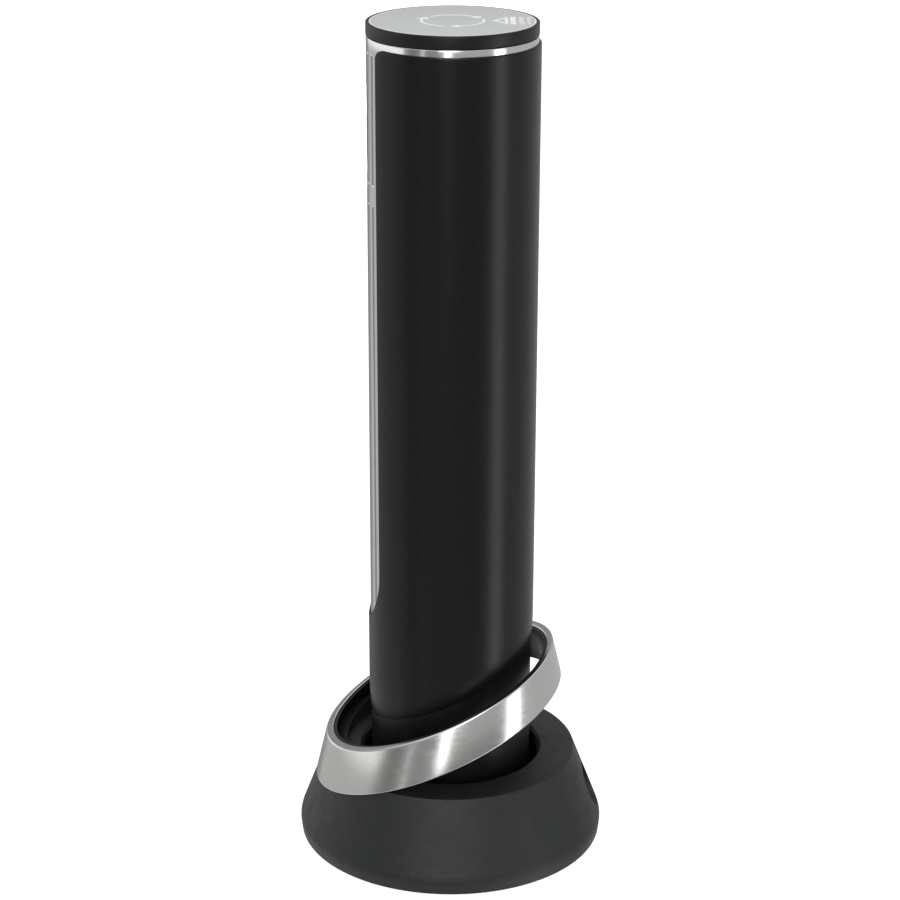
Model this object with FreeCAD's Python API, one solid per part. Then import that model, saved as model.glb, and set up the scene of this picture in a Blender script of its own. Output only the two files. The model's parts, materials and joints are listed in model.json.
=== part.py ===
"""Cordless electric wine opener standing in its charging stand, in millimetres.

Frame: +Z up, origin on the table at the middle of the stand.  The fluted metal front of the opener and
the low side of the slanted ring face -Y, and the power inlet faces +Y.
"""
import FreeCAD, Part
import math
import os

V = FreeCAD.Vector

far = 500.0                   # longer than anything here

# ---- driving dimensions: stand ----
foot_proud = 0.6              # rubber feet below the stand's lower edge
foot_radius = 5.0
foot_thickness = 1.4
foot_inset = 13.4             # feet's circle inside the stand's lower edge
belly_radius = 46.9           # widest place of the stand
rim_inset = 0.5               # lower edge of the stand inside the belly
belly_z = 4.0                 # height of the belly over the lower edge
belly_rounding = 6.0
stand_height = 27.0           # lower edge to flat top
stand_top_radius = 38.05
stand_wall = 2.2
well_radius = 27.2            # hole in the flat top
well_lip = 0.8                # rounding of the hole's rim
collar_inner_radius = 32.0
collar_height = 10.0          # above the flat top
collar_end_y = -16.0          # where the collar runs out on the flat top
collar_end_slope = 0.87
plate_thickness = 1.6
plate_gap = 0.3               # bottom plate inside the rim

# ---- driving dimensions: slanted ring ----
ring_slope = 0.44             # rise per millimetre towards the rear
ring_low_z = 36.5             # lower slanted face, on the axis
ring_rise = 12.9              # lower face to upper face, measured upright
ring_radius = 37.3            # outer radius at ring_taper_z
ring_taper_z = 37.35
ring_taper = 0.236            # radius lost per millimetre of height
ring_wall = 2.1
liner_wall = 0.9              # black hoop that lines the ring
liner_gap = 0.05
liner_top_drop = 0.5          # hoop's upper face under the ring's
collar_drop = 5.0             # collar's upper face under the ring's
ring_edge = 0.45              # rounding of the ring's edges
ring_seat_gap = 0.1           # ring against the stand

# ---- driving dimensions: opener ----
overall_height = 252.2
sleeve_top_radius = 25.15     # black outer sleeve
sleeve_low_radius = 24.99
sleeve_band = 1.9             # bright tube left free above the sleeve
sleeve_cut_z = 51.6           # slanted lower edge of the sleeve, on the axis
sleeve_gap = 0.04             # sleeve over tube
sleeve_edge = 0.3             # bevel of the sleeve's top edge
tube_radius = 24.4            # bright inner tube
tube_wall = 1.0
tube_low_z = 64.0
cap_radius = 24.5
cap_height = 3.6
cap_gap = 0.2                 # tube to cap
label_radius = 23.6
label_thickness = 0.4
window_half_width = 13.0      # opening of the sleeve over the metal front
window_low_z = 71.5
window_arch = 17.0            # height of the opening's half-oval lower end
window_corner = 3.0           # rounding of the sleeve's top corners
flute_angles = (-23.3, -14.0, 14.0, 23.3)
flute_widths = (1.2, 2.0, 2.0, 1.2)
flute_depth = 0.7
flute_top_drop = 4.0          # upper flutes end under the tube's top
flute_light_rise = 5.1        # upper flutes start over the light
flute_light_drop = 0.2        # lower flutes end under the middle of the light
flute_tail = 3.0              # lower flutes start under the opening

# ---- driving dimensions: bottle guide, cork sleeve and worm ----
bottle_bore_radius = 16.2
bottle_bore_depth = 44.4
bore_lead_in = 1.5
guide_wall = 2.0
guide_web = 2.4
guide_spigot = 12.0
cork_bore_radius = 13.4
cork_wall = 1.6
cork_rib = 0.8
cork_rib_count = 6
worm_wire_radius = 1.5
worm_helix_radius = 3.3
worm_pitch = 9.5
worm_turns = 5.25
worm_tip_rise = 2.0           # worm tip above the bottle stop
worm_boss_radius = 4.9
worm_boss_height = 4.0
worm_stub_radius = 3.0
worm_stub_length = 4.0

# ---- driving dimensions: gearing ----
gear_module = 0.75
sun_teeth = 15
planet_teeth = 15
ring_teeth = sun_teeth + 2 * planet_teeth
planet_count = 3
pressure_angle = math.radians(25.0)
addendum = 0.75               # in modules
dedendum = 1.15
backlash = 0.03               # taken off each flank, millimetres on the pitch circle
gear_face = 7.0
ring_gear_wall = 0.6
box_wall = 1.0
box_floor = 2.8
gear_gap = 0.5                # axial gap between turning parts
output_radius = 4.0
planet_pin_radius = 1.5
bush_wall = 1.9
running_gap = 0.05

# ---- driving dimensions: motor, cells and controls ----
motor_radius = 14.0
motor_can_length = 34.0
motor_can_wall = 1.0
motor_shaft_radius = 1.15
armature_radius = 10.2
magnet_gap = 0.4
end_bell_height = 4.0
motor_plate_thickness = 2.0
cell_radius = 7.1
cell_length = 50.5
cell_clearance = 1.0          # between neighbouring cells
tray_thickness = 2.6
seat_depth = 11.9             # cap seat's lower edge under the tube's top
seat_cell_gap = 1.0           # upper links to cap seat
link_thickness = 0.4
housing_wall = 1.4
fit_gap = 0.05                # nested parts that do not move
board_thickness = 1.2
board_half_width = 10.0
board_face_y = -18.7
lead_radius = 0.45
lead_x = 6.0
rocker_half_width = 4.5
rocker_height = 30.0
rocker_thickness = 2.1
rocker_gap = 0.3
rocker_set_back = 0.1
rocker_pin_radius = 0.7
rocker_pin_y = -21.2
rocker_below_cap = 32.5       # middle of the rocker, under the top of the cap
press_gap = 0.45              # rocker to switch
switch_offset = 8.0
light_radius = 1.0
light_below_rocker = 18.2
cap_spigot_radius = 20.9
cap_spigot_depth = 4.7
cap_lug_reach = 1.0
cap_lug_height = 1.6
cap_turn_gap = 0.3

# ---- driving dimensions: charging parts and fasteners ----
floor_thickness = 1.6         # floor of the well
floor_top_z = 7.6
cup_wall = 1.5
cup_gap = 0.3                 # hole in the flat top to the cup's wall
locator_gap = 0.3             # ring on the well's floor round the foot of the opener
locator_height = 4.0
pin_radius = 0.9
pin_flange_radius = 1.3
pin_flange_height = 0.4
pin_gap = 0.1
pad_radius = 2.0
pad_thickness = 0.8
spring_wire = 0.14
spring_coils = 3.5
charge_board_thickness = 1.0
charge_board_lift = 0.4       # over the bottom plate
inlet_z = 13.4
inlet_recess_radius = 6.8
inlet_recess_depth = 4.214    # from the stand's side at the inlet's height
inlet_boss_wall = 1.8
inlet_nose_radius = 4.0
inlet_bore_radius = 2.85
inlet_bore_depth = 9.0
inlet_pin_radius = 1.0
inlet_pin_back = 3.2          # bore that is free in front of the centre pin
inlet_inner_radius = 2.2      # bore round the centre pin
inlet_body_half_width = 5.5
screw_radius = 1.3
screw_head_radius = 2.5
screw_head_height = 1.2
screw_boss_radius = 3.2
screw_inset = 10.4            # base screws' circle inside the stand's lower edge
box_screw_margin = 0.8        # gearbox wall outside its screws
small_screw_radius = 0.9
small_head_radius = 1.7

# ---- heights and radii that follow from them ----
stand_low_z = foot_proud
stand_top_z = stand_low_z + stand_height
belly_height = stand_low_z + belly_z
plate_top_z = stand_low_z + plate_thickness
rim_radius = belly_radius - rim_inset
foot_ring_radius = rim_radius - foot_inset
screw_ring_radius = rim_radius - screw_inset
ring_depth = ring_wall + liner_gap + liner_wall
tube_top_z = overall_height - cap_height - cap_gap
tube_inner_radius = tube_radius - tube_wall
guide_low_z = floor_top_z
stop_z = guide_low_z + bottle_bore_depth
worm_tip_z = stop_z + worm_tip_rise
worm_helix_top = worm_tip_z + worm_pitch * worm_turns
hub_low_z = worm_helix_top + worm_boss_height
output_low_z = hub_low_z + worm_stub_length
hub_height = worm_stub_length + 6.0
box_low_z = hub_low_z + hub_height + gear_gap
box_floor_top = box_low_z + box_floor
carrier_low_z = box_floor_top + gear_gap
carrier_thickness = 2.0
gear_low_z = carrier_low_z + carrier_thickness + gear_gap
gear_top_z = gear_low_z + gear_face
motor_plate_z = gear_top_z + 4.0
motor_low_z = motor_plate_z + motor_plate_thickness
can_top_z = motor_low_z + motor_can_length
bell_top_z = can_top_z + end_bell_height
seat_low_z = tube_top_z - seat_depth
cell_top_z = seat_low_z - seat_cell_gap - link_thickness
cell_low_z = cell_top_z - cell_length
tray_top_z = cell_low_z - link_thickness
tray_low_z = tray_top_z - tray_thickness
cell_pitch = 2.0 * cell_radius + cell_clearance
ring_pitch_radius = gear_module * ring_teeth / 2.0
planet_orbit = gear_module * (sun_teeth + planet_teeth) / 2.0
ring_gear_outer = ring_pitch_radius + dedendum * gear_module + ring_gear_wall
box_screw_ring = cork_bore_radius + cork_wall + small_head_radius + 0.2
box_outer_radius = max(ring_gear_outer + fit_gap + box_wall, box_screw_ring + small_screw_radius + box_screw_margin)
housing_outer_radius = tube_inner_radius - fit_gap
housing_inner_radius = housing_outer_radius - housing_wall
rocker_z = overall_height - rocker_below_cap
light_z = rocker_z - light_below_rocker
sleeve_top_z = tube_top_z - sleeve_band
flute_spans = ((light_z + flute_light_rise, tube_top_z - flute_top_drop),
               (window_low_z - flute_tail, light_z - flute_light_drop))
housing_low_z = tube_low_z + guide_spigot
lead_y = board_face_y - lead_radius
pin_places = ((-lead_x, lead_y), (lead_x, lead_y))


# ---- shape helpers ----
def cyl(radius, z0, z1, x=0.0, y=0.0):
    """Upright cylinder."""
    return Part.makeCylinder(radius, z1 - z0, V(x, y, z0))


def rod_y(radius, y0, y1, x, z):
    """Cylinder lying along Y."""
    return Part.makeCylinder(radius, y1 - y0, V(x, y0, z), V(0, 1, 0))


def rod_x(radius, x0, x1, y, z):
    """Cylinder lying along X."""
    return Part.makeCylinder(radius, x1 - x0, V(x0, y, z), V(1, 0, 0))


def tube(outer, inner, z0, z1):
    """Upright tube about the axis."""
    return cyl(outer, z0, z1).cut(cyl(inner, z0 - 1.0, z1 + 1.0))


def block(x0, x1, y0, y1, z0, z1):
    """Box between two corners."""
    return Part.makeBox(x1 - x0, y1 - y0, z1 - z0, V(x0, y0, z0))


def turned(points):
    """Solid of revolution about Z of a closed outline of (radius, height) points."""
    corners = [V(r, 0, z) for r, z in points]
    face = Part.Face(Part.makePolygon(corners + corners[:1]))
    return face.revolve(V(0, 0, 0), V(0, 0, 1), 360)


def above_slant(z_on_axis, slope):
    """Large solid above the plane z = z_on_axis + slope * y."""
    size = 400.0
    low = z_on_axis - slope * size
    high = z_on_axis + slope * size
    top = z_on_axis + size * 2.0
    corners = [V(-size, -size, low), V(-size, size, high), V(-size, size, top), V(-size, -size, top)]
    return Part.Face(Part.makePolygon(corners + corners[:1])).extrude(V(size * 2.0, 0, 0))


def polar(radius, degrees):
    """Point (x, y) at a radius and an angle from +X."""
    a = math.radians(degrees)
    return radius * math.cos(a), radius * math.sin(a)


def save(name, *solids):
    """Write one node, as one solid or as a group of separate solids."""
    shape = solids[0] if len(solids) == 1 else Part.Compound(list(solids))
    if len(shape.Solids) == 1:
        shape = shape.Solids[0]
    shape.exportStep("parts/%s.step" % name)
    print("%-22s %2d solid %10.1f mm3 valid %s" % (name, len(shape.Solids), shape.Volume, shape.isValid()))


# ---- stand ----
def cone_radius(z):
    """Outer radius of the stand's side at a height."""
    share = (z - belly_height) / (stand_top_z - belly_height)
    return belly_radius + (stand_top_radius - belly_radius) * share


inlet_recess_y = cone_radius(inlet_z) - inlet_recess_depth


def ring_outer_radius(z):
    """Outer radius of the slanted ring's cone at a height."""
    return ring_radius - ring_taper * (z - ring_taper_z)


def ring_cone(inset):
    """Cone of the slanted ring, made smaller by an inset."""
    z0 = stand_low_z
    z1 = ring_low_z + ring_rise + ring_slope * ring_radius + 10.0
    return Part.makeCone(ring_outer_radius(z0) - inset, ring_outer_radius(z1) - inset, z1 - z0, V(0, 0, z0))


def slanted_ring(depth, gap=0.0):
    """Hoop of the ring's cone as deep as asked; with a gap, the space that the stand leaves for it."""
    wall = ring_cone(-gap if gap else 0.0).cut(ring_cone(depth + gap))
    low = above_slant(ring_low_z - gap, ring_slope)
    high = above_slant(ring_low_z + ring_rise, ring_slope)
    return wall.common(low.cut(high))


def make_ring():
    ring = slanted_ring(ring_wall)
    long_edges = [e for e in ring.Edges if e.Length > ring_radius * 3.0]
    rounding = min(ring_edge, ring_wall * 0.4)
    return ring.makeFillet(rounding, long_edges)


def make_liner():
    """Black hoop behind the steel ring, which covers the ring's inner wall all round."""
    hoop = ring_cone(ring_wall + liner_gap).cut(ring_cone(ring_depth))
    hoop = hoop.common(above_slant(ring_low_z, ring_slope))
    return hoop.cut(above_slant(ring_low_z + ring_rise - liner_top_drop, ring_slope))


def stand_profile(inset):
    """Outline of the stand's body, from the axis out; the inset gives the hollow inside it."""
    top = stand_top_z - inset
    return [
        (0.0, stand_low_z), (rim_radius - inset, stand_low_z), (belly_radius - inset, belly_height),
        (cone_radius(top) - inset, top), (0.0, top),
    ]


def make_stand_shell():
    solid = turned(stand_profile(0.0))
    lower_edge = [e for e in solid.Edges if abs(e.BoundBox.ZMax - stand_top_z) < 0.01
                  and e.BoundBox.ZLength < 0.01 and e.BoundBox.XMax > stand_top_radius - 1.0]
    solid = solid.makeFillet(0.5, lower_edge)
    belly_edge = [e for e in solid.Edges if abs(e.BoundBox.ZMax - belly_height) < 0.01 and e.BoundBox.ZLength < 0.01]
    solid = solid.makeFillet(belly_rounding, belly_edge)
    shell = solid.cut(turned(stand_profile(stand_wall)))
    # collar inside the low side of the ring
    collar_top = stand_top_z + collar_height
    collar = ring_cone(ring_depth + ring_seat_gap).common(tube(60.0, collar_inner_radius, stand_top_z - stand_wall,
                                                             collar_top))
    rim_line = above_slant(ring_low_z + ring_rise - collar_drop, ring_slope)
    run_out = above_slant(stand_top_z - collar_end_slope * -collar_end_y, -collar_end_slope)
    collar = collar.cut(rim_line).cut(run_out)
    # ledge under the ring and web behind it, where its slanted cut would open the hollow
    web = ring_cone(ring_depth + ring_seat_gap).cut(ring_cone(ring_depth + ring_seat_gap + stand_wall))
    web = web.common(turned(stand_profile(0.0))).common(above_slant(ring_low_z - stand_wall * 1.5, ring_slope))
    ledge = turned(stand_profile(0.0)).common(above_slant(ring_low_z - stand_wall * 1.5, ring_slope))
    ledge = ledge.cut(above_slant(ring_low_z - ring_seat_gap, ring_slope))
    ledge = ledge.cut(ring_cone(ring_depth + ring_seat_gap + stand_wall))
    shell = shell.fuse([collar, web, ledge])
    shell = shell.cut(slanted_ring(ring_depth, ring_seat_gap))
    # bosses for the base screws and round the inlet
    full = turned(stand_profile(0.1))
    for i in range(4):
        x, y = polar(screw_ring_radius, 45.0 + 90.0 * i)
        boss = cyl(screw_boss_radius, plate_top_z, stand_top_z, x, y).common(full)
        boss = boss.cut(above_slant(ring_low_z - ring_seat_gap, ring_slope))
        shell = shell.fuse(boss)
    recess_wall = rod_y(inlet_recess_radius + inlet_boss_wall, inlet_recess_y - stand_wall, belly_radius, 0.0, inlet_z)
    shell = shell.fuse(recess_wall.common(full))
    # cuts, with room for the inlet's square body
    half = inlet_body_half_width + fit_gap
    body_front = inlet_recess_y - stand_wall
    shell = shell.cut(block(-half, half, well_radius, body_front, inlet_z - half, inlet_z + half))
    shell = shell.cut(rod_y(inlet_recess_radius, inlet_recess_y, belly_radius + 5.0, 0.0, inlet_z))
    shell = shell.cut(rod_y(inlet_nose_radius + fit_gap, inlet_recess_y - 10.0, inlet_recess_y + 5.0, 0.0, inlet_z))
    shell = shell.cut(cyl(well_radius, stand_low_z, stand_top_z + 1.0))
    lip = Part.makeCone(well_radius, well_radius + well_lip, well_lip, V(0, 0, stand_top_z - well_lip))
    shell = shell.cut(lip)
    shell = shell.cut(cyl(rim_radius - stand_wall + 0.8, stand_low_z - 1.0, plate_top_z))
    for i in range(4):
        x, y = polar(screw_ring_radius, 45.0 + 90.0 * i)
        shell = shell.cut(cyl(screw_radius, plate_top_z - 0.1, plate_top_z + 6.5, x, y))
    for i in range(3):
        x, y = polar(cup_flange_screw_radius(), 90.0 + 120.0 * i)
        shell = shell.cut(cyl(small_screw_radius, stand_top_z - stand_wall, stand_top_z - 0.7, x, y))
    parts = sorted(shell.removeSplitter().Solids, key=lambda s: s.Volume)
    return parts[-1]


def cup_flange_screw_radius():
    """Radius of the circle of the three screws that hold the well cup."""
    return well_radius + cup_gap + cup_wall + small_head_radius + 0.3


def make_well_cup():
    inner = well_radius - cup_gap
    outer = inner + cup_wall
    top = stand_top_z - stand_wall
    flange = cup_flange_screw_radius() + small_head_radius + 0.8
    cup = tube(outer, inner, floor_top_z - floor_thickness, top)
    cup = cup.fuse(cyl(outer, floor_top_z - floor_thickness, floor_top_z))
    cup = cup.fuse(tube(outer - 0.5, tube_radius + locator_gap, floor_top_z - 0.5, floor_top_z + locator_height))
    for i in range(3):
        x, y = polar(cup_flange_screw_radius(), 90.0 + 120.0 * i)
        ear = cyl(small_head_radius + 0.8, top - cup_wall, top, x, y)
        neck = block(inner + 0.5, flange, -small_head_radius - 0.8, small_head_radius + 0.8, top - cup_wall, top)
        neck.rotate(V(0, 0, 0), V(0, 0, 1), 90.0 + 120.0 * i)
        ear = ear.fuse(neck.common(cyl(cup_flange_screw_radius(), 0.0, 100.0)))
        cup = cup.fuse(ear)
        cup = cup.cut(cyl(small_screw_radius + fit_gap, top - 5.0, top + 1.0, x, y))
    for x, y in pin_places:
        cup = cup.cut(cyl(pin_radius + pin_gap, 0.0, floor_top_z + 1.0, x, y))
    return cup.removeSplitter()


def screw(x, y, z_head, length, radius, head_radius, head_height, up=True):
    """Pan-head screw with a cross slot; its shank runs up or down from the head's seat."""
    sign = 1.0 if up else -1.0
    shank = Part.makeCylinder(radius, length, V(x, y, z_head), V(0, 0, sign))
    head = Part.makeCylinder(head_radius, head_height, V(x, y, z_head), V(0, 0, -sign))
    outer = z_head - sign * head_height
    slot_deep = head_height * 0.5
    low = min(outer, outer + sign * slot_deep)
    slot = block(x - head_radius * 0.7, x + head_radius * 0.7, y - 0.25, y + 0.25, low, low + slot_deep)
    cross = block(x - 0.25, x + 0.25, y - head_radius * 0.7, y + head_radius * 0.7, low, low + slot_deep)
    return shank.fuse(head).cut(slot).cut(cross)


def make_bottom_plate():
    plate = cyl(rim_radius - stand_wall + 0.8 - plate_gap, stand_low_z, plate_top_z)
    for i in range(4):
        x, y = polar(foot_ring_radius, 90.0 * i)
        plate = plate.cut(cyl(foot_radius + fit_gap, stand_low_z - 1.0, foot_thickness, x, y))
        x, y = polar(screw_ring_radius, 45.0 + 90.0 * i)
        plate = plate.cut(cyl(screw_radius + pin_gap, 0.0, plate_top_z + 1.0, x, y))
        plate = plate.cut(cyl(screw_head_radius + pin_gap, 0.0, stand_low_z + screw_head_height, x, y))
    for x, y in board_post_places():
        plate = plate.fuse(cyl(2.0, plate_top_z - 0.5, plate_top_z + charge_board_lift, x, y))
        plate = plate.cut(cyl(small_screw_radius, stand_low_z + 0.5, plate_top_z + 5.0, x, y))
    return plate


def board_post_places():
    """Two posts of the bottom plate that carry the charge board."""
    return ((-8.0, 8.0), (8.0, 8.0))


def make_charge_board():
    z0 = plate_top_z + charge_board_lift
    z1 = z0 + charge_board_thickness
    board = block(-11.0, 11.0, lead_y - 4.0, inlet_recess_y - stand_wall - 1.5, z0, z1)
    for x, y in board_post_places():
        board = board.cut(cyl(small_screw_radius + fit_gap, z0 - 1.0, z1 + 1.0, x, y))
    return board


def make_stand_parts():
    save("stand_shell", make_stand_shell())
    save("stand_ring", make_ring())
    save("ring_liner", make_liner())
    save("well_cup", make_well_cup())
    save("bottom_plate", make_bottom_plate())
    feet = [cyl(foot_radius, 0.0, foot_thickness, *polar(foot_ring_radius, 90.0 * i)) for i in range(4)]
    save("rubber_feet", *feet)
    seat = stand_low_z + screw_head_height
    base = [polar(screw_ring_radius, 45.0 + 90.0 * i) for i in range(4)]
    save("base_screws", *[screw(x, y, seat, 6.0, screw_radius, screw_head_radius, screw_head_height)
                          for x, y in base])
    flange_z = stand_top_z - stand_wall - cup_wall
    cup = [polar(cup_flange_screw_radius(), 90.0 + 120.0 * i) for i in range(3)]
    save("cup_screws", *[screw(x, y, flange_z, cup_wall + 1.4, small_screw_radius, small_head_radius, 1.0)
                         for x, y in cup])
    save("charge_board", make_charge_board())
    board_top = plate_top_z + charge_board_lift + charge_board_thickness
    save("board_screws", *[screw(x, y, board_top, charge_board_thickness + charge_board_lift + 0.8,
                                 small_screw_radius, small_head_radius, 0.8, up=False)
                           for x, y in board_post_places()])
    # power inlet: square body on two legs, round nose in the stand's wall
    body_front = inlet_recess_y - stand_wall
    body_back = well_radius - cup_gap + cup_wall + 1.2
    half = inlet_body_half_width
    inlet = block(-half, half, body_back, body_front, inlet_z - half, inlet_z + half)
    inlet = inlet.fuse(rod_y(inlet_nose_radius, body_front - 1.0, inlet_recess_y, 0.0, inlet_z))
    for side in (-1.0, 1.0):
        leg = block(side * 3.5 - 0.6, side * 3.5 + 0.6, body_back + 1.0, body_back + 2.0, board_top, inlet_z)
        inlet = inlet.fuse(leg)
    bore_end = max(inlet_recess_y - inlet_bore_depth, body_back + 0.8)
    bore_step = inlet_recess_y - inlet_pin_back
    inlet = inlet.cut(rod_y(inlet_inner_radius, bore_end, bore_step + 0.1, 0.0, inlet_z))
    inlet = inlet.cut(rod_y(inlet_bore_radius, bore_step, inlet_recess_y + 1.0, 0.0, inlet_z))
    save("power_inlet", inlet.removeSplitter())
    save("inlet_pin", rod_y(inlet_pin_radius, bore_end, bore_step, 0.0, inlet_z))
    # sprung charge pins
    floor_low = floor_top_z - floor_thickness
    flange_low = floor_low - pin_flange_height
    for name, (x, y) in zip(("left", "right"), pin_places):
        pin = cyl(pin_radius, floor_low, floor_top_z, x, y).fuse(cyl(pin_flange_radius, flange_low, floor_low, x, y))
        save("charge_pin_" + name, pin.removeSplitter())
        height = flange_low - board_top
        pitch = (height - spring_wire * 2.0) / spring_coils
        save("pin_spring_" + name, coil(spring_wire, pin_radius, pitch, spring_coils, board_top + spring_wire, x, y))


def coil(wire, radius, pitch, turns, z0, x=0.0, y=0.0):
    """Round wire wound on a helix that starts on the +X side."""
    path = Part.makeHelix(pitch, pitch * turns, radius)
    start = V(radius, 0, 0)
    lean = V(0, 2.0 * math.pi * radius, pitch)
    ring = Part.Wire(Part.makeCircle(wire, start, lean))
    solid = Part.Wire(path.Edges).makePipeShell([ring], True, True)
    solid.translate(V(x, y, z0))
    return solid


# ---- gears ----
def involute_angle(radius, base_radius):
    """Angle of the involute at a radius, zero at and below the base circle."""
    if radius <= base_radius:
        return 0.0
    a = math.acos(base_radius / radius)
    return math.tan(a) - a


def gear_outline(teeth, tip_radius, root_radius, flank_shift):
    """Closed outline of one gear with a tooth on +X; flank_shift is taken off each flank."""
    pitch_radius = gear_module * teeth / 2.0
    base_radius = pitch_radius * math.cos(pressure_angle)
    half_pitch = math.pi / (2.0 * teeth) - flank_shift / pitch_radius
    half_base = half_pitch + involute_angle(pitch_radius, base_radius)
    low, high = sorted((root_radius, tip_radius))
    steps = 5
    radii = [low + (high - low) * k / steps for k in range(steps + 1)]
    corners = []
    for tooth in range(teeth):
        middle = 2.0 * math.pi * tooth / teeth
        for r in radii:
            a = middle - half_base + involute_angle(r, base_radius)
            corners.append(V(r * math.cos(a), r * math.sin(a), 0))
        for r in reversed(radii):
            a = middle + half_base - involute_angle(r, base_radius)
            corners.append(V(r * math.cos(a), r * math.sin(a), 0))
    return Part.Face(Part.makePolygon(corners + corners[:1]))


def external_gear(teeth, height, bore):
    pitch_radius = gear_module * teeth / 2.0
    face = gear_outline(teeth, pitch_radius + addendum * gear_module, pitch_radius - dedendum * gear_module, backlash)
    return face.extrude(V(0, 0, height)).cut(cyl(bore, -1.0, height + 1.0))


def internal_gear(height):
    """Ring gear; its tooth spaces have the outline of an outer gear, and one space is on +X."""
    spaces = gear_outline(ring_teeth, ring_pitch_radius + dedendum * gear_module,
                          ring_pitch_radius - addendum * gear_module, -backlash)
    return cyl(ring_gear_outer, 0.0, height).cut(spaces.extrude(V(0, 0, height)))


def make_gearbox_parts():
    ring = internal_gear(gear_face + 0.4)
    ring.translate(V(0, 0, gear_low_z - 0.2))
    save("ring_gear", ring)
    sun = external_gear(sun_teeth, gear_face, motor_shaft_radius)
    sun.translate(V(0, 0, gear_low_z))
    save("sun_gear", sun)
    for i in range(planet_count):
        angle = 360.0 * i / planet_count
        planet = external_gear(planet_teeth, gear_face, planet_pin_radius + running_gap)
        planet.translate(V(planet_orbit, 0, gear_low_z))
        planet.rotate(V(0, 0, 0), V(0, 0, 1), angle)
        save("planet_gear_%d" % (i + 1), planet)
    carrier = cyl(planet_orbit + planet_pin_radius + 1.5, carrier_low_z, carrier_low_z + carrier_thickness)
    for i in range(planet_count):
        x, y = polar(planet_orbit, 360.0 * i / planet_count)
        carrier = carrier.fuse(cyl(planet_pin_radius, carrier_low_z, gear_top_z + 0.8, x, y))
        carrier = carrier.fuse(cyl(planet_pin_radius + 0.9, carrier_low_z, gear_low_z - 0.1, x, y))
    carrier = carrier.fuse(cyl(output_radius, output_low_z, carrier_low_z + 0.5))
    save("planet_carrier", carrier.removeSplitter())
    hub = tube(output_radius + 2.5, output_radius, output_low_z, hub_low_z + hub_height)
    hub = hub.fuse(tube(output_radius + 2.5, worm_stub_radius, hub_low_z, output_low_z))
    save("worm_hub", hub.removeSplitter())
    bush = tube(output_radius + bush_wall, output_radius + running_gap, box_low_z, box_floor_top)
    save("output_bush", bush)
    box_in = ring_gear_outer + fit_gap
    box = cyl(box_outer_radius, box_low_z, motor_plate_z)
    box = box.cut(cyl(box_in, box_floor_top, motor_plate_z + 1.0))
    box = box.fuse(tube(box_in + 0.5, ring_pitch_radius + 0.2, box_floor_top, gear_low_z - 0.2))
    box = box.cut(cyl(output_radius + bush_wall, box_low_z - 1.0, box_floor_top + 1.0))
    for x, y in gearbox_screw_places():
        box = box.cut(cyl(small_screw_radius, box_low_z - 1.0, box_low_z + 2.2, x, y))
    save("gearbox_housing", box.removeSplitter())
    spacer = tube(box_in - 0.1, box_in - 1.2, gear_top_z + 0.2, motor_plate_z)
    save("gear_retainer", spacer)
    flange_low = box_low_z - guide_web
    save("gearbox_screws", *[screw(x, y, flange_low, guide_web + 2.0, small_screw_radius, small_head_radius, 1.0)
                             for x, y in gearbox_screw_places()])


def gearbox_screw_places():
    """Three screws that hold the cork sleeve's flange to the gearbox."""
    return [polar(box_screw_ring, 90.0 + 120.0 * i) for i in range(3)]


# ---- motor ----
def make_motor_parts():
    plate = cyl(box_outer_radius, motor_plate_z, motor_low_z)
    plate = plate.cut(cyl(5.0, motor_plate_z - 1.0, motor_low_z + 1.0))
    holes = [(-9.0, 0.0), (9.0, 0.0)]
    for x, y in holes:
        plate = plate.cut(cyl(small_screw_radius + fit_gap, motor_plate_z - 1.0, motor_low_z + 1.0, x, y))
    save("motor_plate", plate)
    length = motor_plate_thickness + motor_can_wall
    save("motor_screws", *[screw(x, y, motor_plate_z, length, small_screw_radius, small_head_radius, 0.8)
                           for x, y in holes])
    can = cyl(motor_radius, motor_low_z, can_top_z)
    can = can.cut(cyl(motor_radius - motor_can_wall, motor_low_z + motor_can_wall, can_top_z + 1.0))
    can = can.fuse(cyl(4.9, motor_low_z - 1.5, motor_low_z + 0.5))
    can = can.cut(cyl(motor_shaft_radius + running_gap, motor_plate_z - 1.0, can_top_z))
    for x, y in holes:
        can = can.cut(cyl(small_screw_radius, motor_low_z - 1.0, motor_low_z + motor_can_wall + 0.5, x, y))
    save("motor_can", can.removeSplitter())
    arc = tube(motor_radius - motor_can_wall - fit_gap, armature_radius + magnet_gap, motor_low_z + 4.0, can_top_z - 3.0)
    low = arc.common(block(-30.0, 30.0, -30.0, -5.0, 0.0, far))
    high = arc.common(block(-30.0, 30.0, 5.0, 30.0, 0.0, far))
    save("motor_magnets", low, high)
    core = cyl(armature_radius, motor_low_z + 5.0, can_top_z - 8.0)
    for i in range(5):
        x, y = polar(armature_radius * 0.78, 72.0 * i)
        core = core.cut(cyl(1.8, motor_low_z, can_top_z, x, y))
    core = core.fuse(cyl(4.0, motor_low_z + 3.0, can_top_z - 3.5))
    core = core.cut(cyl(motor_shaft_radius, motor_low_z, can_top_z))
    save("motor_armature", core.removeSplitter())
    save("motor_shaft", cyl(motor_shaft_radius, gear_low_z - 0.3, bell_top_z + 1.0))
    bell = cyl(motor_radius, can_top_z, bell_top_z)
    bell = bell.fuse(cyl(motor_radius - motor_can_wall - fit_gap, can_top_z - 1.5, can_top_z + 0.1))
    bell = bell.cut(cyl(motor_shaft_radius + running_gap, can_top_z - 2.0, bell_top_z + 1.0))
    save("motor_end_bell", bell.removeSplitter())
    save("motor_leads", *[cyl(lead_radius * 1.4, bell_top_z, tray_low_z, x, 0.0) for x in (-9.0, 9.0)])


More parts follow.
